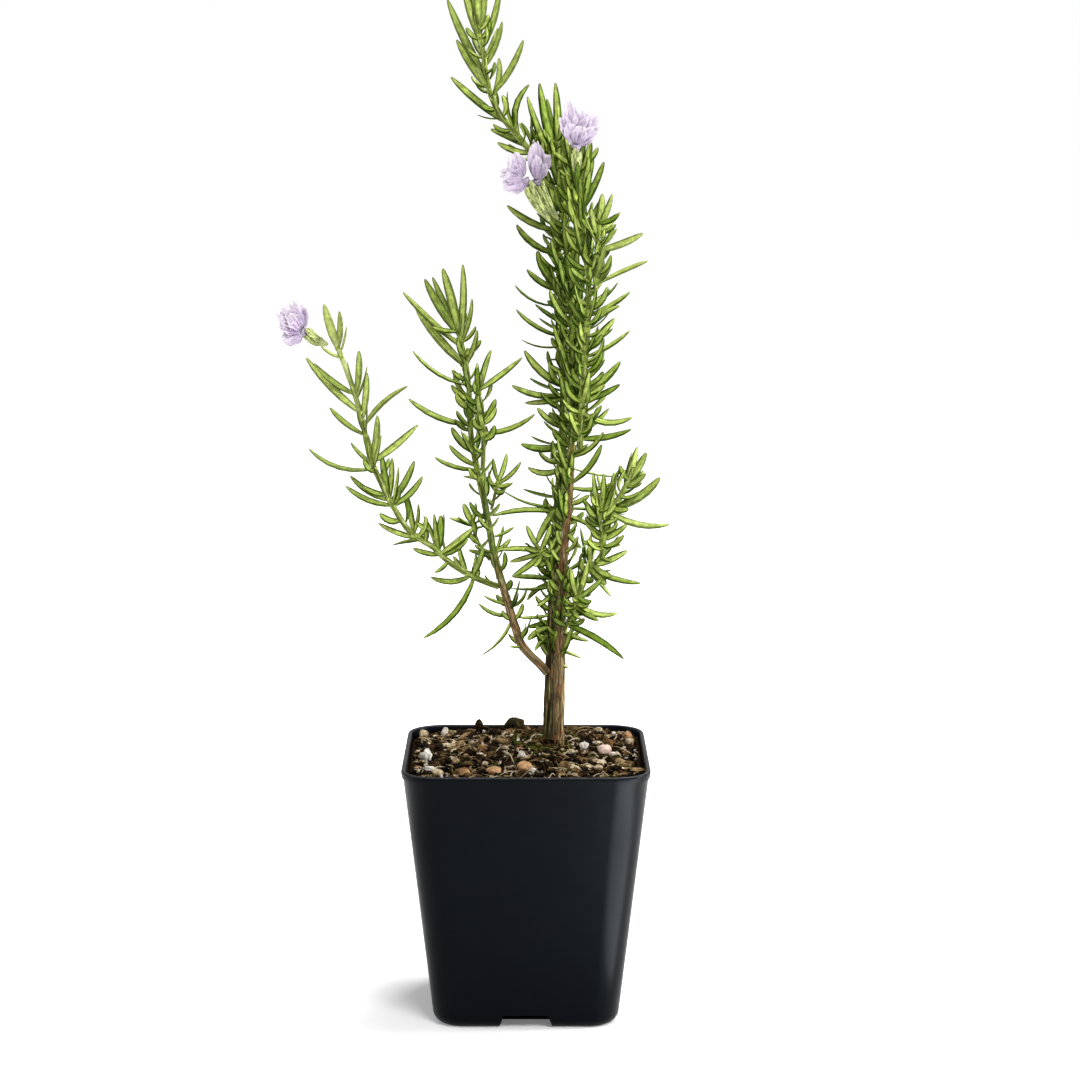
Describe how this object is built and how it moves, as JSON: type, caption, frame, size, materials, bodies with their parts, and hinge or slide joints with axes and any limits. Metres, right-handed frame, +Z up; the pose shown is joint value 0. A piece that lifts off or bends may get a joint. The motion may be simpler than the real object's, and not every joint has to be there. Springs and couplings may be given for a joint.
{
  "type": "potted rosemary plant",
  "caption": "Young rosemary plant with woody upright stems, needle leaves and a few pale lilac flowers, growing in a tapered square nursery pot of dark plastic.",
  "frame": {"origin": "middle of the pot's flat underside, where it rests", "axes": "+Z up along the plant, +X to the right of the side with the front notch, +Y to the back"},
  "size_m": [0.1364, 0.0888, 0.3739],
  "materials": {
    "black_plastic": "satin",
    "potting_mix": "matte",
    "moss": "matte",
    "tan_stone": "matte",
    "pale_stone": "matte",
    "woody_bark": "matte",
    "green_bark": "satin",
    "needle_leaf": "satin",
    "pale_calyx": "matte",
    "lilac_petal": "matte"
  },
  "bodies": {
    "root": {"arch_calyx_high": "pale_calyx", "arch_calyx_low": "pale_calyx", "arch_corolla_high": "lilac_petal", "arch_corolla_low": "lilac_petal", "arching_leaves_cross": "needle_leaf", "arching_leaves_fan": "needle_leaf", "arching_leaves_low": "needle_leaf", "arching_leaves_spread": "needle_leaf", "arching_leaves_upper": "needle_leaf", "arching_stem": "green_bark", "arching_tuft": "needle_leaf", "clod": "potting_mix", "crown_calyx": "pale_calyx", "crown_corolla": "lilac_petal", "crown_tuft": "needle_leaf", "far_left_buds": "needle_leaf", "far_left_calyx": "pale_calyx", "far_left_corolla": "lilac_petal", "far_left_leaves_bend": "needle_leaf", "far_left_leaves_low": "needle_leaf", "far_left_leaves_middle": "needle_leaf", "far_left_leaves_upper": "needle_leaf", "far_left_stem": "green_bark", "flower_leaves_low": "needle_leaf", "flower_leaves_middle": "needle_leaf", "flower_stem": "green_bark", "flower_tuft": "needle_leaf", "inner_left_shoot": "green_bark", "inner_left_tuft": "needle_leaf", "inner_right_shoot": "green_bark", "inner_right_tuft": "needle_leaf", "left_fork": "green_bark", "left_fork_leaves": "needle_leaf", "left_leaves_low": "needle_leaf", "left_leaves_middle": "needle_leaf", "left_leaves_wing": "needle_leaf", "left_spur": "green_bark", "left_spur_tuft": "needle_leaf", "left_stem": "woody_bark", "left_tuft": "needle_leaf", "left_twig": "green_bark", "left_twig_tuft": "needle_leaf", "long_pebble": "tan_stone", "main_leaves_low": "needle_leaf", "main_leaves_middle": "needle_leaf", "main_leaves_upper": "needle_leaf", "main_stem": "woody_bark", "moss_lump": "moss", "pot": "black_plastic", "potting_mix": "potting_mix", "right_low_leaves": "needle_leaf", "right_low_stem": "green_bark", "right_low_tuft": "needle_leaf", "right_sprig": "green_bark", "right_sprig_leaves": "needle_leaf", "right_spur": "green_bark", "right_spur_tuft": "needle_leaf", "rose_pebble": "pale_stone", "tan_pebble": "tan_stone", "white_chip": "pale_stone"}
  },
  "joints": []
}
